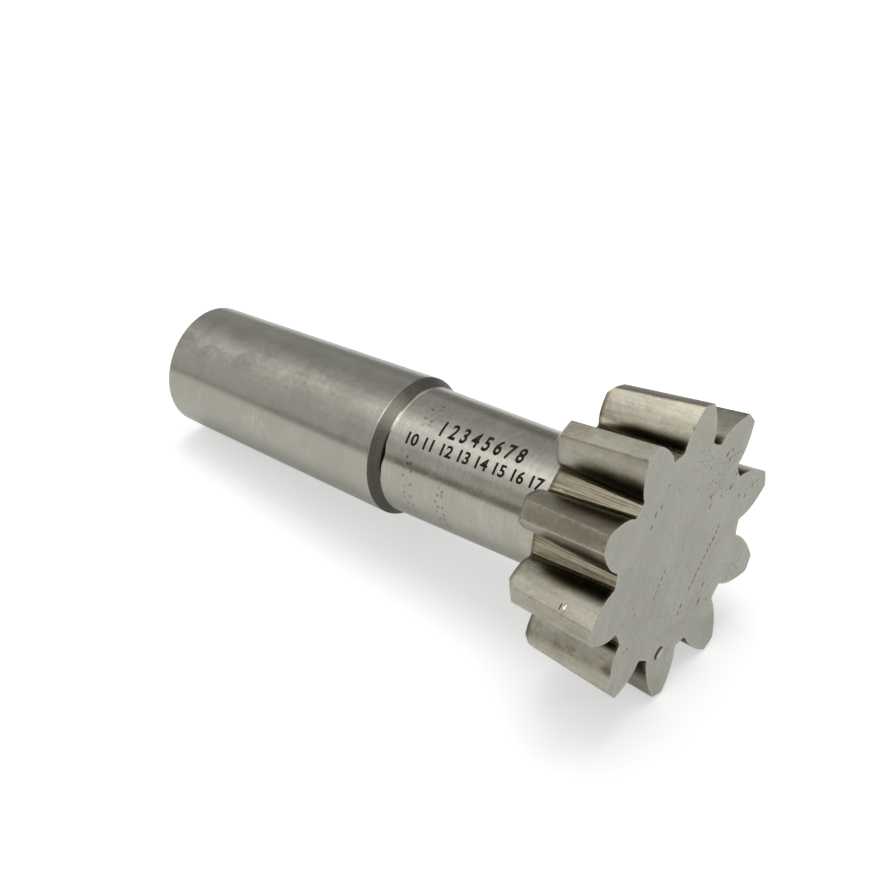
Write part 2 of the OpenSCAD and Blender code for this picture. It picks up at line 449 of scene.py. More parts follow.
def toolMarks(local, look):  # stretched along the marks, so that noise on it runs that way
    if look["streak"] == "around":
        return local * (0.09, 0.09, 5.5)
    if look["streak"] == "rings":  # faced in the lathe
        radius = (local * (1, 1, 0)).vector("LENGTH", out="Value")
        return addNode(local.tree, "ShaderNodeCombineXYZ", {"X": radius * 4.5}) + local * (0.07, 0.07, 0.0)
    if look["streak"] == "face":  # ground straight across the face
        return groundWay(local) * (0.16, 1.3, 1.0)
    # along the teeth: the same all the way down a tooth space, whatever its depth
    fine = look.get("fine", 64)
    spoke = (local * (1, 1, 0)).vector("NORMALIZE")
    return spoke * (fine, fine, 0) + local * (0.3, 0.3, 0.07)


def groundWay(local):  # turned so that its first axis runs the way the face was ground
    return addNode(local.tree, "ShaderNodeVectorRotate", {"Vector": local, "Angle": -faceSlant},
                   rotation_type="Z_AXIS")


def rustOver(colour, grain, aroundPart, alongPart, spread, show):
    cells = addNode(colour.tree, "ShaderNodeTexVoronoi", {
        "Vector": spread, "Scale": 1 / rustSpots["apart"], "Randomness": 0.75}, voronoi_dimensions="2D")
    chance = addNode(colour.tree, "ShaderNodeSeparateColor", {"Color": cells.other("Color")})
    spot = ramp(cells + (grain - 0.5) * 0.5, 0.10, rustSpots["size"], 1.0, 0.0) * ramp(chance, 0.12, 0.6)
    banded = None
    for back, halfWidth, first, last in rustSpots["bands"]:
        halfSpan = radians(last - first) / 2 * neckR
        offBack = (alongPart - back).maths("ABSOLUTE")
        offAround = (aroundPart - roundPart((first + last) / 2)).maths("ABSOLUTE")
        band = (ramp(offBack, halfWidth * 0.75, halfWidth * 1.15, 1.0, 0.0)
                * ramp(offAround, halfSpan - 0.8, halfSpan, 1.0, 0.0))
        banded = banded.maths("MAXIMUM", band) if banded else band
    return mix(spot * banded * show, colour, rustSpots["colour"])


def smearOver(colour, spread, show):
    away = spread.vector("DISTANCE", (roundPart(shankSmear["around"]), shankSmear["back"], 0), "Value")
    waves = noise(spread * (0.30, 0.9, 1), 0.8, 3, 0.5, 2.6)
    wiped = ramp(away, 1.0, shankSmear["reach"], 1.0, 0.0) * ramp(waves, 0.46, 0.62)
    scuffs = ramp(noise(spread * (0.5, 1.6, 1), 0.9, 4, 0.65), 0.66, 0.76) * 0.7
    return mix(wiped.maths("MAXIMUM", scuffs) * show, colour, shankSmear["colour"])


def steelFinish(name, look):
    made = bpy.data.materials.new("steel" + name.capitalize())
    made.use_nodes = True
    tree = made.node_tree
    local = addNode(tree, "ShaderNodeMapping", {
        "Vector": addNode(tree, "ShaderNodeTexCoord", out="Object"), "Location": place.translation,
        "Rotation": (0, tilted, 0), "Scale": (mm, mm, mm)}, vector_type="TEXTURE")
    marks = toolMarks(local, look)
    smudge, grain, speck = noise(local, 0.16, 3, warp=0.8), noise(local, 1.7, 5, 0.6), noise(local, 6.0, 2)
    streak, broad = noise(marks, 1.0, 4, 0.65, 0.1), noise(marks, 0.35, 3, 0.5, 0.2)
    # broad smudges and tool marks darken, stained patches warm
    uneven = smudge * 0.6 + grain * 0.4
    colour = mix(ramp(uneven, 0.40, 0.62), look["dark"], look["base"])
    if look.get("scored"):  # broad scores under the fine ones
        colour = mix(ramp(noise(marks, 0.5, 2, 0.5), 0.44, 0.54, 0.6, 0.0), colour, look["scored"])
    if look["show"]:
        lines = ramp(streak * 0.7 + broad * 0.3, *look.get("lineAt", (0.40, 0.53)), look["show"], 0.0)
        colour = mix(lines, colour, look.get("line", tuple(0.5 * c for c in look["dark"])))
    if look.get("fleck"):
        pebble = grain
        if look["streak"] == "face":
            pebble = noise(marks * (5.0, 1.0, 1.0), 1.6, 3, 0.6)
        flecks = ramp(speck * 0.4 + pebble * 0.6, 0.36, 0.52, 1.0, 0.0) * look["fleck"]
        colour = mix(flecks, colour, tuple(0.72 * c for c in look["dark"]))
    if look.get("relief"):  # painted light and shade: shallow grains drawn lighter on one side than on the other
        grains = groundWay(local) * (0.75, 3.3, 1.0)
        grainLightAndShade = noise(grains, 1.5, 4, 0.72) - noise(grains + (0, -0.2, 0), 1.5, 4, 0.72)
        patchy = ramp(noise(local, 0.35, 2), 0.38, 0.62, 0.35, 1.2)
        colour = scaled(colour, grainLightAndShade * patchy * look["relief"] + 1.0)
    if look.get("glint"):  # brighter flecks drawn out along the tooth
        bright = ramp(noise(local * (1.0, 1.0, 0.4), 0.9, 5, 0.72, 0.4), 0.54, 0.68)
        colour = mix(bright * look["glint"], colour, over["glint"])
    colour = mix(ramp(noise(local, 0.24, 4, 0.6, 1.2), 0.5, 0.68) * look["warmth"], colour, look["warm"])
    if look.get("rusty") or look.get("smeared"):  # millimetres round and along the turned part, from its UVs
        laid = addNode(tree, "ShaderNodeSeparateXYZ", {0: addNode(tree, "ShaderNodeUVMap", uv_map="UVMap")})
        aroundPart, alongPart = laid * (pi * cutter["neckDiameter"]), laid.other("Y") * partLength
        spread = addNode(tree, "ShaderNodeCombineXYZ", {"X": aroundPart, "Y": alongPart})
        if look.get("rusty"):
            colour = rustOver(colour, grain, aroundPart, alongPart, spread, look["rusty"])
        else:
            colour = smearOver(colour, spread, look["smeared"])
    if look.get("shadedTint"):  # painted highlight and shade carried on the mesh: lighter or darker, the darker the browner
        tone = carried(tree, "tone")
        for part, kind in ((look["shadedTint"], "MINIMUM"), (look.get("lit", (1.3, 1.28, 1.2)), "MAXIMUM")):
            colour = colour * (scaled(part, tone.maths(kind)) + (1, 1, 1))
    # painted shade and grime in the corners go through brown to nearly black; the edges are worn bright
    if look["shadeAndSootShare"]:
        shadeAndSootHere = carried(tree, "soot") * ramp(grain, 0.2, 0.7, 0.8, 1.0) * look["shadeAndSootShare"]
        colour = mix((shadeAndSootHere * 1.5).maths("MINIMUM", 1.0), colour, over["brown"])
        colour = mix(shadeAndSootHere * shadeAndSootHere, colour, over["black"])
    if look["wear"]:
        worn = carried(tree, "edge").maths("POWER", 2.5) * ramp(grain, 0.35, 0.62, 0.1, look["wear"])
        colour = mix(worn, colour, tuple(min(0.6, c * 1.25) for c in look["base"]))
    bump, mottle = {}, look["mottle"]
    for height, depth in ((streak, look["streakDepth"]), (grain, mottle), (speck, mottle * 0.4)):
        if depth:
            bump = {"Normal": addNode(tree, "ShaderNodeBump", {
                "Height": height, "Distance": depth * mm, "Strength": 1.0, **bump})}
    rough = ramp(uneven, 0.38, 0.62, *look["rough"], kind="LINEAR") + (speck - 0.5) * 0.06
    shader = tree.nodes["Principled BSDF"]
    feed(shader, {"Base Color": colour, "Roughness": rough, "Metallic": 0.0 if name == "mark" else 1.0,
                  "Specular IOR Level": 0.15 if name == "mark" else 0.5, **bump})
    if look["spread"]:  # turned and ground round the axis, so that highlights spread along it
        feed(shader, {"Anisotropic": look["spread"], "Anisotropic Rotation": 0.25, "Tangent": addNode(
            tree, "ShaderNodeTangent", direction_type="UV_MAP", uv_map="UVMap")})
    return made


finishOf = {name: steelFinish(name, {**plainFinish, **look}) for name, look in finishes.items()}
finishNames = list(finishes)
print("finishes:", len(finishOf))

# The ring of teeth: one sector turned round the axis, welded, its space floors scored by the milling
toothRing = dict(teeth=cutter["teeth"], scoreDepth=0.14, scoreSeed=4.0)
ringRegions = ("flank", "root", "face", "back")


def toothRingTree():
    tree, start, end = newTree("toothRing", {"Teeth": "Int", "Score depth": "Float", "Score seed": "Float"},
                               ringRegions)
    step = addNode(tree, "ShaderNodeMath", {0: 2 * pi, 1: start.other("Teeth")}, operation="DIVIDE")
    angle = (addNode(tree, "GeometryNodeInputIndex") + 0.5) * step
    copies = addNode(tree, "GeometryNodeInstanceOnPoints", {
        "Points": addNode(tree, "GeometryNodePoints", {"Count": start.other("Teeth")}), "Instance": start,
        "Rotation": addNode(tree, "ShaderNodeCombineXYZ", {"Z": angle})})
    solid = addNode(tree, "GeometryNodeRealizeInstances", {"Geometry": copies})
    welded = addNode(tree, "GeometryNodeMergeByDistance", {"Geometry": solid, "Distance": 0.0005})
    # scores: noise that is fine across the floor and long along it
    where = addNode(tree, "GeometryNodeInputPosition")
    spoke = (where * (1, 1, 0)).vector("NORMALIZE")
    wobble = addNode(tree, "ShaderNodeTexNoise", {
        "Vector": spoke * (17, 17, 0) + where * (0, 0, 0.02), "W": start.other("Score seed"),
        "Scale": 2.0, "Detail": 3.0, "Roughness": 0.7}, noise_dimensions="4D")
    deep = wobble * named(tree, "scored", "FLOAT") * start.other("Score depth")
    inward = (where * (-1, -1, 0)).vector("NORMALIZE")
    shape = addNode(tree, "GeometryNodeSetPosition", {"Geometry": welded, "Offset": scaled(inward, deep)})
    shape = layFinishes(shape, start, "region", ringRegions)
    tree.links.new(shape.socket, end.inputs[0])
    return tree


def scoredAt(p):  # 1 on the floor of a tooth space, less close to its fillets
    back = -p.z
    clear = abs(atan2(p.y, p.x)) - filletAt(back)[1]
    return min(1.0, clear / 0.012) if clear > 0 and abs(p.xy.length - rootR(back)) < 0.06 else 0.0


points, faces, regions = toothSector()
sectorMesh = newMesh("toothSector", points, faces)
keepOn(sectorMesh, "region", [ringRegions.index(r) for r in regions], "INT", "FACE")
keepOn(sectorMesh, "scored", [scoredAt(p) for p in points])
sector = link("toothSector", sectorMesh)
ringMesh = useTree(sector, toothRingTree(), {
    "Teeth": toothRing["teeth"], "Score depth": toothRing["scoreDepth"],
    "Score seed": toothRing["scoreSeed"]}, ringRegions)
bpy.data.objects.remove(sector)
columnsAround = cutter["teeth"] * (2 * (floorEnd - filletEnd) + 2 * tipEnd)
print("tooth ring:", len(ringMesh.polygons), "faces,", columnsAround, "columns round the neck")

# The turned part: radius and distance back along its profile, with the finish of each stretch
shankR = cutter["shankDiameter"] / 2
neckEnd = headLength + cutter["neckLength"]
shankStart = neckEnd + cutter["shoulderLength"]
endR = shankR - cutter["shankLength"] / cutter["shankTaper"] / 2
endRound = cutter["endRadius"]
shoulderSlope = degrees(atan2(shankR - neckR, cutter["shoulderLength"]))
cornerRun = cutter["shoulderFillet"] * tanDeg(shoulderSlope / 2)  # of the corner's fillet, along the neck


def arcPoints(r, back, radius, start, stop, steps):  # angles from outwards, turning towards the shank end
    angles = [radians(start + (stop - start) * i / steps) for i in range(steps + 1)]
    return [(r + radius * cos(a), back + radius * sin(a)) for a in angles]


def turnedProfile():
    fillet, small, slope = cutter["headFillet"], cutter["shoulderFillet"], shoulderSlope
    lip = 0.06  # the shoulder's outer edge is broken by this much
    stretches = [
        ("neck", arcPoints(neckR + fillet, headLength + fillet, fillet, -90, -180, 10)),
        ("neck", [(neckR, headLength + fillet + 0.4), (neckR, headLength + 6), (neckR, neckEnd - 6),
                  *((neckR, neckEnd - cornerRun - gap) for gap in (0.7, 0.55, 0.42, 0.3, 0.18, 0.08))]),
        ("neck", arcPoints(neckR + small, neckEnd - cornerRun, small, 180, 180 - slope, 5)),
        ("shoulder", [(neckR + 0.17, neckEnd + 0.17 / tanDeg(slope)),
                      (shankR - 0.2, shankStart - 0.2 / tanDeg(slope)),
                      (shankR - lip * sin(radians(slope)) - 0.004, shankStart - lip * cos(radians(slope)))]),
        ("shank", [(shankR - 0.0025, shankStart + 0.05), (shankR - 0.0075, shankStart + 0.3)]),
        ("shank", [(shankR - s / cutter["shankTaper"] / 2, shankStart + s) for s in (2, 12, 24, 36, 44)]),
        ("shank", [(endR, partLength - endRound - 0.25)]),
        ("shank", arcPoints(endR - endRound, partLength - endRound, endRound, 0, 67.5, 6)),
        ("end", arcPoints(endR - endRound, partLength - endRound, endRound, 78.75, 90, 1)),
    ]
    centre, pilot = cutter["centreDiameter"] / 2, cutter["pilotDiameter"] / 2
    coneSlope, pointSlope = tanDeg(cutter["centreAngle"] / 2), tanDeg(cutter["pilotPoint"] / 2)
    coneEnd, holeEnd = partLength - (centre - pilot) / coneSlope, partLength - cutter["centreDepth"]
    stretches += [
        ("end", [(r, partLength) for r in (9.4, 7.8, 6.0, 4.4, 3.2, centre + 0.05)]),
        ("hole", [(centre - 0.03, partLength - 0.06), (centre - 0.4, partLength - 0.4 / coneSlope),
                  (pilot + 0.02, coneEnd + 0.03), (pilot, coneEnd - 0.05), (pilot, holeEnd + 0.03),
                  (pilot - 0.04, holeEnd), (0.25, holeEnd - (pilot - 0.25) / pointSlope)]),
    ]
    return [(r, back, tag) for tag, run in stretches for r, back in run], holeEnd - pilot / pointSlope


def turnedMesh(around):
    profile, drillPoint = turnedProfile()
    spots, quads, tags = [], [], []
    for r, back, _ in profile:
        spots += [polarPoint(r, 2 * pi * i / around, back) for i in range(around)]
    spots.append(Vector((0, 0, -drillPoint)))
    for k in range(len(profile) - 1):
        for i in range(around):
            j = (i + 1) % around
            quads.append((k * around + i, k * around + j, (k + 1) * around + j, (k + 1) * around + i))
            tags.append(profile[k + 1][2])
    last = (len(profile) - 1) * around
    for i in range(around):
        quads.append((last + i, last + (i + 1) % around, len(spots) - 1))
        tags.append("hole")
    mesh = newMesh("turned", spots, quads)
    mesh.polygons.foreach_set("material_index", [finishNames.index(t) for t in tags])
    return mesh


# One closed body: the ring of teeth and the turned part welded where the neck leaves the head
def joinBody():
    numberOf = {i: finishNames.index(m.name.removeprefix("steel").lower())
                for i, m in enumerate(ringMesh.materials) if m}
    for face in ringMesh.polygons:
        face.material_index = numberOf[face.material_index]
    bm = bmesh.new()
    bm.from_mesh(ringMesh)
    bm.from_mesh(turnedMesh(columnsAround))
    bmesh.ops.remove_doubles(bm, verts=bm.verts, dist=0.0008)
    bmesh.ops.recalc_face_normals(bm, faces=bm.faces)
    loose = sum(1 for e in bm.edges if len(e.link_faces) != 2)
    body = meshOf("cutterBody", bm)
    print("body:", len(body.polygons), "faces,", loose, "open edges")
    return body


bodyMesh = joinBody()
for name in ("region", "scored"):  # only the ring's tree needs these
    if name in bodyMesh.attributes:
        bodyMesh.attributes.remove(bodyMesh.attributes[name])
for name in finishNames:
    bodyMesh.materials.append(finishOf[name])


def smoothstep(low, high, x):
    t = min(1.0, max(0.0, (x - low) / (high - low)))
    return t * t * (3 - 2 * t)


# How much painted shade and grime sits at a point: in the tooth spaces, and in the corners at both ends of
# the neck.
# A tooth is named by the degrees to its middle round from the bottom, its sides are 1 and -1
shadeAndResidue = dict(
    usual=0.9,  # how far it climbs a tooth, and where that differs
    spaces={(162, 1): 0.58, (-162, 1): 0.86, (-126, -1): 1.45, (-126, 1): 1.35, (-90, -1): 0.84,
            (-54, -1): 0.4, (-54, 1): 0.8, (126, -1): 0.9, (126, 1): 0.4, (90, 1): 0.6},
    corner=(58, 71, 0.38))  # where the shoulder's corner is painted black as a shadow, round from the top, and how wide
# Stains: tooth, side, share of the tooth's height, distance back, reach along and up, strength
stains = ((-54, -1, 0.62, 0.6, 2.6, 0.13, 0.42), (-54, -1, 0.62, 3.6, 1.6, 0.08, 0.16),
          (-126, -1, 0.66, 2.0, 2.2, 0.06, 0.2))
# Tip lands and flanks painted lighter or darker, by tooth and side: painted highlight and shade
tipPaintedShading = {-162: 0.28, -126: -0.18, 162: -0.25, 126: 0.08, 54: -0.1, -54: 0.05}
flankPaintedShading = {(162, 1): 0.42, (-90, -1): 0.06, (-126, -1): -0.08, (-126, 1): -0.06, (-54, -1): 0.09}


def fromTop(p):  # degrees round from the top, towards the camera's side
    return (degrees(atan2(p.y, p.x)) + 360) % 360 - 180


def nearestTooth(p):  # its name, its side, and the angle from its middle
    around, pitch = degrees(atan2(p.y, p.x)), 360 / cutter["teeth"]
    tooth = round((around - pitch / 2) / pitch) * pitch + pitch / 2
    return tooth, 1 if around > tooth else -1, radians(abs(around - tooth))


def shadeAndSootAt(p):
    r, back = p.xy.length, -p.z
    # in a tooth space: painted shade and grime, darkest low down and climbing the flank
    if back < headLength - 0.01 and coneDepth(r) + 0.02 < back:
        tooth, side, a = nearestTooth(p)
        climb = shadeAndResidue["spaces"].get(((tooth + 180) % 360 - 180, side), shadeAndResidue["usual"])
        high = (r - rootR(back)) / (tipR(back) - rootR(back))
        filletAngle = filletAt(back)[1]
        # painted shade along both edges of the space floor, at the feet of the flanks
        if a > filletAngle:
            return 0.85 * (1 - smoothstep(0, 0.011, a - filletAngle))
        towardsNeck = smoothstep(10.2, 14.6, back)  # lighter where the space runs out towards the neck
        reach = climb * (1 - 0.55 * towardsNeck)
        band = 1 - smoothstep(0.20 * reach, 0.74 * reach, high)
        spots = [strength * (1 - smoothstep(0.3, 1.0, hypot((back - at) / along, (high - share) / up)))
                 for where, face, share, at, along, up, strength in stains
                 if face == side and (where - tooth) % 360 == 0]
        return max(band * (1 - 0.45 * towardsNeck), 0.9 * (1 - smoothstep(0.02, 0.12, high)), *spots)
    # painted shade in the corners behind the head and round the shoulder, with a black painted shadow line in
    # the shoulder's corner
    if back < neckEnd + 0.1:
        down = fromTop(p)
        start, stop, width = shadeAndResidue["corner"]
        wide = width * smoothstep(start - 6, start + 6, down) * (1 - smoothstep(stop - 8, stop + 6, down))
        near = (0.35 + 1.4 * smoothstep(40, 50, down) * (1 - smoothstep(74, 90, down))
                + (0.5 if 4 < down < 24 else 0))
        line = 1 - smoothstep(wide - 0.14, wide + 0.05, neckEnd - cornerRun - back)
        return 0.7 * (1 - smoothstep(0, 1.1, back - headLength)) + near * line
    return 0.0


def paintedShadingAt(p):  # painted highlight above 0, painted shade below
    r, back = p.xy.length, -p.z
    if coneDepth(r) + 0.02 < back < headLength:
        tooth, side, _ = nearestTooth(p)
        return tipPaintedShading.get(tooth, 0.0) if r > tipR(back) - 0.03 else flankPaintedShading.get((tooth, side), 0.0)
    if neckEnd - 1 < back < neckEnd:  # the bright line in the shoulder's corner, a painted reflection
        down, gap = fromTop(p), neckEnd - cornerRun - back
        return (0.75 * smoothstep(-30, -14, down) * (1 - smoothstep(30, 44, down))
                * smoothstep(-0.12, -0.03, gap) * (1 - smoothstep(0.2, 0.5, gap)))
    return 0.0


sharpFrom = radians(28)  # faces that meet at more than this make an edge


def wearAt(mesh):  # the edges that stand out, and a little way in from them
    worn = [0.0] * len(mesh.vertices)
    facesAt = {}
    for f in mesh.polygons:
        for key in f.edge_keys:
            facesAt.setdefault(key, []).append(f.index)
    for key, pair in facesAt.items():
        if len(pair) == 2:
            one, two = (mesh.polygons[i] for i in pair)
            outwards = (two.center - one.center).dot(two.normal - one.normal) > 0
            if outwards and one.normal.angle(two.normal, 0) > sharpFrom:
                worn[key[0]] = worn[key[1]] = 1.0
    sharp = {i for i, w in enumerate(worn) if w}
    for one, two in (e.vertices for e in mesh.edges):
        if (one in sharp) != (two in sharp) and (mesh.vertices[one].co - mesh.vertices[two].co).length < 0.4:
            inner = two if one in sharp else one
            worn[inner] = max(worn[inner], 0.7)
    return worn


keepOn(bodyMesh, "tone", [paintedShadingAt(v.co) for v in bodyMesh.vertices])
keepOn(bodyMesh, "soot", [shadeAndSootAt(v.co) for v in bodyMesh.vertices])
bodyMesh.polygons.foreach_set("use_smooth", [True] * len(bodyMesh.polygons))
bodyMesh.set_sharp_from_angle(angle=sharpFrom)
keepOn(bodyMesh, "edge", wearAt(bodyMesh))

# Pits and dents: flattened balls cut out of the surface. Spots in millimetres, on the front face as x down
# and y across. The kinds pit, dent and nick choose the finish; deep is a pit that others may touch
pitting = dict(
    seed=11, ballFineness=2, apart=1.02, margin=0.45, strays=100, straysWithin=17.0,
    dashDepth=0.14, scratchShape=(0.06, 0.1),
    sizes=dict(large=0.40, medium=0.27, small=0.18),
    large=((13.2, 5.7), (-10.2, 13.3), (-3.3, 14.6), (-4.3, 9.7)),
    medium=((-10.4, 14.5), (-8.9, 14.0), (-8.3, 14.4), (-5.1, 15.9), (-3.0, 12.2), (-2.6, 9.4), (-0.5, 16.8),
            (0.4, 18.3), (-0.6, 20.3), (-0.8, 21.4), (14.0, 7.7), (10.8, 7.2), (-10.25, -5.5), (-8.6, -6.5),
            (-10.7, -3.9)),
    small=((-9.0, 15.1), (-7.9, 15.2), (-8.2, 16.0), (-4.7, 11.9), (-7.7, 11.2), (-7.3, 9.6), (-14.6, 6.6),
           (-13.2, 5.7), (-10.2, 9.0), (-8.9, 12.7), (-12.6, 6.6), (-4.9, 9.0), (-3.5, 13.5), (12.3, 8.5),
           (8.9, -14.9), (8.8, -14.0), (6.8, -15.8), (4.4, -11.3), (-13.6, -2.2), (-10.8, 0.8), (-8.0, 6.0),
           (13.4, 13.2)),
    # a patch has its middle, spread, count, smallest and largest
    patches=(((-13.2, 7.6), 1.5, 60, 0.07, 0.14), ((-8.7, 14.1), 1.3, 30, 0.08, 0.15),
             ((-6.4, 11.1), 1.6, 26, 0.07, 0.14), ((4.4, -11.3), 2.6, 26, 0.05, 0.1)),
    # the large pit at a tooth's base and a nick near an edge: size, depth, stretch, turn
    deep=(15.4, -5.7), deepShape=(0.85, 0.42, 1.75, radians(-73)),
    nick=(-13.9, 10.1), nickShape=(0.12, 0.14, 4.4, radians(60)),
    # broken lines of dashes: start, end, how many. Scratches: place, turn, length
    dashes=(((2.0, 11.9), (3.6, 10.6), 2), ((3.6, 10.6), (7.7, 5.8), 6), ((7.7, 5.8), (9.8, 3.2), 3),
            ((2.3, -1.9), (5.5, -6.2), 5), ((10.7, 1.6), (12.2, -0.4), 2)),
    scratches=((11.4, 14.9, 0.35, 6.0), (13.1, 15.9, 1.3, 5.0), (14.2, 15.6, -0.5, 4.0),
               (12.4, 16.6, 0.8, 4.5)),
    # a dent on one flank, lighter as a painted highlight, with a dark rim behind it as a painted shadow, and
    # a nick in the cutting edge of another tooth:
    # tooth, side, radius, distance back, half sizes, turn, kind
    flanks=((-90, -1, 22.1, 5.6, (0.85, 0.30, 0.42), 0.5, "dent"),
            (-90, -1, 22.1, 6.35, (0.8, 0.16, 0.11), 0.5, "nick"),
            (162, 1, 21.0, 0.1, (0.75, 0.3, 0.34), 0.2, "deep")))
randomly = random.Random(pitting["seed"])


def onFace(x, y, margin):
    r, a = hypot(x, y), atan2(y, x) % (2 * halfPitch) - halfPitch
    if r < rootR(0) - margin:
        return True
    return r < tipR(0) - margin and abs(a) < halfAngle(r, coneDepth(r)) - margin / r


def facePit(x, y, size, depth=None, stretch=1.0, turn=0.0, kind="pit"):
    depth = depth or size * 0.4
    at = Vector((x, y, -coneDepth(hypot(x, y)) + (0 if kind == "nick" else 0.4 * depth)))
    return at, (size * stretch, size, depth), (0, 0, turn), kind


def groundPit(x, y, size, stretches, swing):  # drawn out the way the face was ground
    stretch = randomly.uniform(*stretches)
    return facePit(x, y, size, stretch=stretch, turn=faceSlant + randomly.gauss(0, swing))


def pitPlaces():
    places = [facePit(*pitting["deep"], *pitting["deepShape"], "deep"),
              facePit(*pitting["nick"], *pitting["nickShape"], "nick")]
    for group, size in pitting["sizes"].items():
        for x, y in pitting[group]:
            places.append(groundPit(x, y, size * randomly.uniform(0.85, 1.15), (1.3, 2.1), 0.25))
    for middle, reach, count, smallest, largest in pitting["patches"]:
        for _ in range(count):
            x, y = middle[0] + randomly.gauss(0, reach), middle[1] + randomly.gauss(0, reach)
            if onFace(x, y, pitting["margin"]):
                places.append(groundPit(x, y, randomly.uniform(smallest, largest), (1, 1.9), 0.6))
    for _ in range(pitting["strays"]):
        r, a = pitting["straysWithin"] * sqrt(randomly.random()), randomly.uniform(0, 2 * pi)
        x, y = r * cos(a), r * sin(a)
        if onFace(x, y, pitting["margin"]):
            places.append(groundPit(x, y, randomly.uniform(0.05, 0.11), (1, 2.5), 0.3))
    for start, stop, count in pitting["dashes"]:
        down, across = stop[0] - start[0], stop[1] - start[1]
        turn, spacing = atan2(across, down), hypot(across, down) / count
        for i in range(count):
            s = (i + randomly.uniform(0.45, 0.55)) / count
            half, width = spacing * randomly.uniform(0.32, 0.44), randomly.uniform(0.08, 0.115)
            places.append(facePit(start[0] + down * s, start[1] + across * s, width, pitting["dashDepth"],
                                  half / width, turn, "nick"))
    for x, y, turn, length in pitting["scratches"]:
        places.append(facePit(x, y, *pitting["scratchShape"], length * 2, turn))
    for tooth, side, r, back, size, turn, kind in pitting["flanks"]:
        a = radians(tooth) + side * halfAngle(r, back)
        places.append((polarPoint(r, a, back), size, (0, 0, a + turn), kind))
    return places


hollows = ("pit", "dent", "nick")


def pittingTree():
    tree, start, end = newTree("pitting", {"Pit places": "Object", "Ball fineness": "Int"}, hollows)
    balls = addNode(tree, "GeometryNodeInstanceOnPoints", {
        "Points": addNode(tree, "GeometryNodeObjectInfo", {"Object": start.other("Pit places")}, "Geometry"),
        "Instance": addNode(tree, "GeometryNodeMeshIcoSphere", {
            "Radius": 1.0, "Subdivisions": start.other("Ball fineness")}),
        "Rotation": named(tree, "turn", "FLOAT_VECTOR"), "Scale": named(tree, "size", "FLOAT_VECTOR")})
    solid = addNode(tree, "GeometryNodeRealizeInstances", {"Geometry": balls})
    solid = layFinishes(solid, start, "kind", hollows)
    cut = addNode(tree, "GeometryNodeMeshBoolean", {"Mesh 1": start, "Mesh 2": solid},
                  operation="DIFFERENCE", solver="EXACT")
    tree.links.new(cut.socket, end.inputs[0])
    return tree


def cutPits(body):
    places = []
    for spot in pitPlaces():  # two pits never meet
        gaps = ((spot[0] - other[0]).length / (max(spot[1]) + max(other[1])) for other in places)
        if spot[3] != "pit" or all(gap > pitting["apart"] for gap in gaps):
            places.append(spot)
    spots = newMesh("pitPlaces", [p[0] for p in places])
    for name, column in (("size", 1), ("turn", 2)):
        keepOn(spots, name, [v for p in places for v in p[column]], "FLOAT_VECTOR")
    keepOn(spots, "kind", [hollows.index(p[3]) if p[3] in hollows else 0 for p in places], "INT")
    marker, whole = link("pitPlaces", spots), link("cutterPitted", body)
    result = useTree(whole, pittingTree(), {
        "Pit places": marker, "Ball fineness": pitting["ballFineness"]}, hollows)
    bpy.data.objects.remove(marker)
    bpy.data.objects.remove(whole)
    print("pits:", len(places), "places,", len(result.polygons), "faces")
    return result


def paintShadeInPits(mesh):  # painted shade: darker deep in a pit and on the wall turned one way, lighter on the other
    pit = next(i for i, m in enumerate(mesh.materials) if m == finishOf["pit"])
    slopes = {}
    for f in mesh.polygons:
        if f.material_index == pit:
            for v in f.vertices:
                slopes[v] = slopes.get(v, Vector()) + f.normal
    tone = mesh.attributes["tone"].data
    middle = Vector(pitting["deep"])
    for v, slope in slopes.items():
        lean = slope.normalized().dot(Vector((0.35, 0.94, 0)))
        off = mesh.vertices[v].co.xy - middle
        if off.length < 1.6:  # the large one: a painted shadow on one side of its middle
            lean = 0.5 - 1.5 * smoothstep(0.15, 0.8, off.dot(Vector((0.9, 0.4))))
        tone[v].value = max(-0.88, min(0.12, -0.58 - 1.3 * lean))


bodyMesh = cutPits(bodyMesh)
paintShadeInPits(bodyMesh)


uvSpan = 50  # millimetres of an end face to one unit of its UVs


# UVs run round the axis and along it; the end faces lie flat
def layUVs(mesh):
    layer = mesh.uv_layers.get("UVMap") or mesh.uv_layers.new(name="UVMap")
    values = [0.0] * (2 * len(mesh.loops))
    flatOnes = {i for i, m in enumerate(mesh.materials) if m and m.name in ("steelFace", "steelBack")}
    for f in mesh.polygons:
        middle = (atan2(f.center.y, f.center.x) - halfPitch) % (2 * pi)
        for loop in f.loop_indices:
            p = mesh.vertices[mesh.loops[loop].vertex_index].co
            if f.material_index in flatOnes:
                u, v = p.y / uvSpan + 0.5, p.x / uvSpan + 0.5
            else:
                a = atan2(p.y, p.x) - halfPitch if p.xy.length > 0.01 else middle
                a += 2 * pi * round((middle - a) / (2 * pi))
                u, v = a / (2 * pi), -p.z / partLength
            values[2 * loop], values[2 * loop + 1] = u, v
    layer.data.foreach_set("uv", values)


layUVs(bodyMesh)
bodyMesh.transform(place)
bodyMesh.name = "cutterBody"
cutterBody = link("cutterBody", bodyMesh)
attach(cutterBody, "root")
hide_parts("cutter")
print("cutter body:", len(bodyMesh.polygons), "faces")

# Plain running numbers round the neck, dark as if burnt in: text, height, start and end as distance back
# and angle from the top
neckNumbers = dict(rows=(("1 2 3 4 5 6 7 8", 2.95, (41.9, 24.2), (25.9, 21.1)),
                         ("10 11 12 13 14 15 16 17", 2.15, (47.0, 42.7), (20.5, 38.4))),
                   proud=0.006, sunk=0.04, slice=0.3, bold=0.03)


def flatFigures(text):
    curve = bpy.data.curves.new("numbers", "FONT")
    curve.body, curve.size, curve.align_x, curve.resolution_u = text, 1.0, "LEFT", 6
    curve.offset = neckNumbers["bold"]
    holder = link("numbers", curve)
    flat = plainResult(holder)
    bpy.data.objects.remove(holder)
    return flat


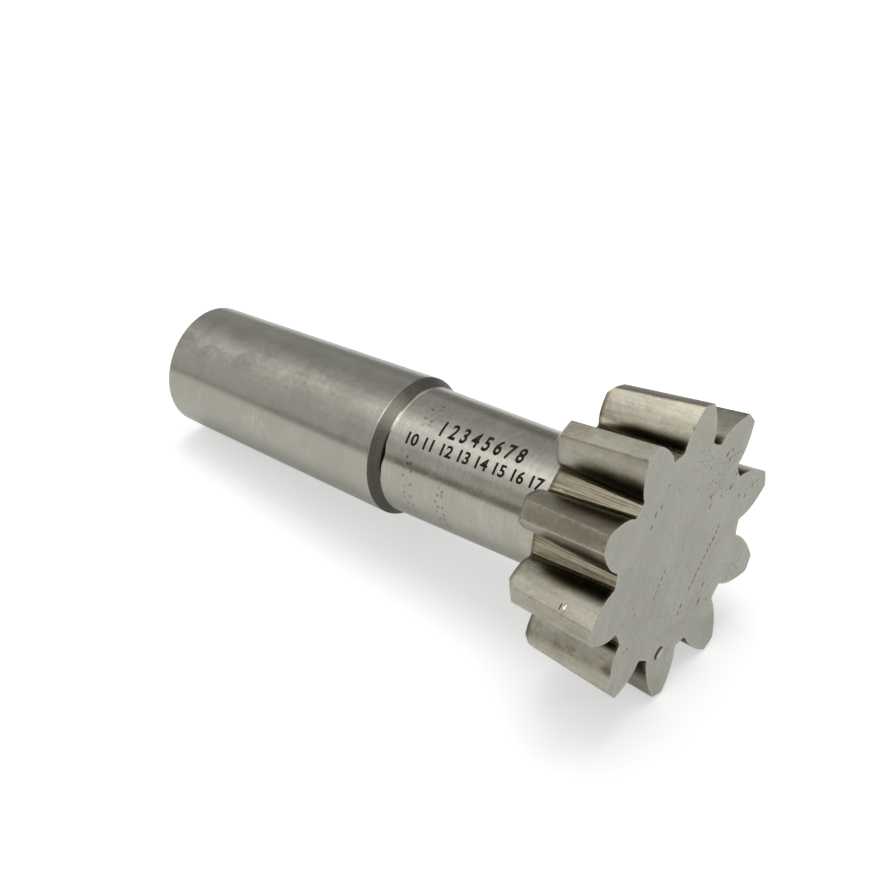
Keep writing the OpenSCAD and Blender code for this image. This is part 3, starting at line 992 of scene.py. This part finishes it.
def numberRow(text, height, start, stop):  # sized flat, cut into bands, thickened, then bent round the neck
    flat = flatFigures(text)
    xs, ys = [v.co.x for v in flat.vertices], [v.co.y for v in flat.vertices]
    x0, y0, wide, tall = min(xs), min(ys), max(xs) - min(xs), max(ys) - min(ys)
    along, up = start[0] - stop[0], radians(start[1] - stop[1]) * neckR
    bm = bmesh.new()
    bm.from_mesh(flat)
    for v in bm.verts:
        v.co.x = (v.co.x - x0) / wide * hypot(along, up)
        v.co.y = ((v.co.y - y0) / tall - 0.5) * height
    bmesh.ops.remove_doubles(bm, verts=bm.verts, dist=1e-4)
    cuts = int(height / neckNumbers["slice"])
    for i in range(1, cuts):
        bmesh.ops.bisect_plane(bm, geom=bm.verts[:] + bm.edges[:] + bm.faces[:], dist=1e-5,
                               plane_co=(0, height * (i / cuts - 0.5), 0), plane_no=(0, 1, 0))
    raised = bmesh.ops.extrude_face_region(bm, geom=bm.faces[:])["geom"]
    for v in [g for g in raised if isinstance(g, bmesh.types.BMVert)]:
        v.co.z = neckNumbers["proud"] + neckNumbers["sunk"]
    tilt = atan2(up, along)
    for v in bm.verts:
        x = v.co.x * cos(tilt) - v.co.y * sin(tilt)
        y = v.co.x * sin(tilt) + v.co.y * cos(tilt)
        down = radians(start[1]) - y / neckR
        r = neckR - neckNumbers["sunk"] + v.co.z
        v.co = Vector((-r * cos(down), -r * sin(down), -(start[0] - x)))
    bmesh.ops.recalc_face_normals(bm, faces=bm.faces)
    return meshOf("row", bm)


def numberMesh():
    whole = bmesh.new()
    for row in neckNumbers["rows"]:
        whole.from_mesh(numberRow(*row))
    mesh = meshOf("neckNumbers", whole)
    mesh.materials.append(finishOf["mark"])
    return mesh


numbersMesh = numberMesh()
layUVs(numbersMesh)
numbersMesh.transform(place)
numbersPiece = link("neckNumbers", numbersMesh)
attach(numbersPiece, "root")
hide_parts("cutter")
print("neck numbers:", len(numbersMesh.polygons), "faces")

# Floor: lit like any other surface, lifted to white for the camera, paler in reflections and duller far off
studio = dict(
    floorSize=0.6, floorColour=0.64, farColour=0.12, farWay=110.0, farFrom=0.11, farTo=0.36, floorLift=0.50,
    floorMirrored=0.22, plainLight=0.50, room=0.60, boxWay=(-164.0, 46.0), boxDistance=0.9, boxSize=0.5,
    boxLight=0.9, topWay=(130.0, 74.0), topDistance=0.8, topSize=0.55, topLight=3.8,
)


def wayTo(azimuth, elevation):
    a, e = radians(azimuth), radians(elevation)
    return Vector((cos(a) * cos(e), sin(a) * cos(e), sin(e)))


def mirroredRays(path):
    return path.other("Is Glossy Ray").maths("MAXIMUM", path.other("Is Transmission Ray"))


def floorFinish():
    made = bpy.data.materials.new("paleFloor")
    made.use_nodes = True
    made.cycles.emission_sampling = "NONE"
    tree = made.node_tree
    tree.nodes.clear()
    spot = addNode(tree, "ShaderNodeTexCoord", out="Object")
    far = spot.vector("DOT_PRODUCT", wayTo(studio["farWay"], 0), "Value")
    near = ramp(far, studio["farFrom"], studio["farTo"], 1.0, 0.0)
    shade = near * (studio["floorColour"] - studio["farColour"]) + studio["farColour"]
    path = addNode(tree, "ShaderNodeLightPath")
    lift = (studio["floorColour"] - shade) * 1.1 + studio["floorLift"]
    glowing = path.other("Is Camera Ray") * lift + mirroredRays(path) * near * studio["floorMirrored"]
    grey = addNode(tree, "ShaderNodeCombineXYZ", {"X": shade, "Y": shade, "Z": shade})
    matt = addNode(tree, "ShaderNodeBsdfDiffuse", {"Color": grey})
    glow = addNode(tree, "ShaderNodeEmission", {"Color": (1, 1, 1, 1), "Strength": glowing})
    both = addNode(tree, "ShaderNodeAddShader", {0: matt, 1: glow})
    addNode(tree, "ShaderNodeOutputMaterial", {"Surface": both})
    return made


half = studio["floorSize"] / 2
corners = [(-half, -half, 0), (half, -half, 0), (half, half, 0), (-half, half, 0)]
floorMesh = newMesh("floor", corners, [(0, 1, 2, 3)])
floorMesh.materials.append(floorFinish())
link("floor", floorMesh)

# World: white behind the object, plain light on it, and for reflections a room that is darker behind and
# above, with one warm patch. Patches: azimuth, elevation, inner and outer angle, gain. Strips lie round a
# pole given as azimuth and elevation, this many degrees off its equator, with their half width, gain, and
# the patch they stay in
room = dict(
    patches=(
        (134, 12, 8, 42, -0.17), (114, 14, 4, 19, -0.28), (160, 42, 10, 36, -0.06), (-148, 48, 6, 16, 0.62),
        (-161, 31, 5, 13, -0.28), (-169, 53, 5, 14, 0.40), (-118, 16, 6, 20, -0.26), (-44, 73, 8, 29, 4.4),
        (-60, 40, 20, 90, 0.25), (30, 10, 20, 80, 0.2), (50, 52, 14, 34, 0.35), (-20, 30, 10, 26, 0.25)),
    strips=(
        (0, 90, -2, 5, -0.16, None), (0, 90, 22.5, 3.2, -0.2, (-146, 21, 14, 30)),
        (0, 90, 31, 3.0, 0.08, (-146, 31, 10, 22)), (0, 90, 14, 3.5, 0.07, (-145, 15, 25, 50)),
        (-84, 0, 0, 1.8, -0.22, (-174, 40, 8, 14)), (-73, 0, 0, 1.5, -0.14, (-163, 38, 6, 12)),
        (-92, 0, 0, 1.6, 0.10, (178, 40, 8, 14))),
    warm=(-121, 0, 3, 12, -0.42),
    warmColour=(1.0, 0.84, 0.58),
)


def patch(way, azimuth, elevation, inner, outer, gain=1.0):
    dot = way.vector("DOT_PRODUCT", wayTo(azimuth, elevation), "Value")
    return ramp(dot, cos(radians(outer)), cos(radians(inner)), 0.0, gain)


def buildWorld():
    world = bpy.data.worlds.new("studio")
    bpy.context.scene.world = world
    world.use_nodes = True
    world.cycles.sampling_method = "NONE"
    tree = world.node_tree
    tree.nodes.clear()
    way = addNode(tree, "ShaderNodeTexCoord", out="Generated")
    level = studio["room"]
    for spot in (*room["patches"], room["warm"]):
        level = patch(way, *spot) + level
    for azimuth, elevation, offset, halfWidth, gain, spot in room["strips"]:
        height = way.vector("DOT_PRODUCT", wayTo(azimuth, elevation), "Value")
        off = (height - sin(radians(offset))).maths("ABSOLUTE")
        strip = ramp(off, 0.0, sin(radians(halfWidth)), gain, 0.0)
        level = level + (strip * patch(way, *spot) if spot else strip)
    path = addNode(tree, "ShaderNodeLightPath")
    mirrored = mirroredRays(path)
    level = level * mirrored + path.other("Is Camera Ray")
    level = level + path.other("Is Diffuse Ray") * studio["plainLight"]
    tint = mix(patch(way, *room["warm"][:4]) * mirrored, (1, 1, 1), room["warmColour"])
    light = addNode(tree, "ShaderNodeBackground", {"Color": tint, "Strength": level})
    addNode(tree, "ShaderNodeOutputWorld", {"Surface": light})


buildWorld()


def softBox(name, part):
    way, size = wayTo(*studio[part + "Way"]), studio[part + "Size"]
    lamp = bpy.data.lights.new(name, "AREA")
    lamp.shape, lamp.size = "SQUARE", size
    lamp.energy = studio[part + "Light"] * pi * size ** 2
    made = link(name, lamp)
    made.location = way * studio[part + "Distance"]
    made.rotation_euler = way.to_track_quat("Z", "Y").to_euler()
    made.visible_glossy = False


softBox("sideBox", "box")
softBox("topBox", "top")
print("floor, world and two soft boxes")

view = bpy.data.cameras.new("view")
view.sensor_width, view.lens = 36, 69.155
view.clip_start, view.clip_end = 0.01, 20
camera = link("view", view)
camera.location = (0.139637, -0.171586, 0.193336)
camera.rotation_euler = [radians(a) for a in (51.5854, -1.2408, 39.3247)]
bpy.context.scene.camera = camera
bpy.context.scene.view_settings.view_transform = "Standard"
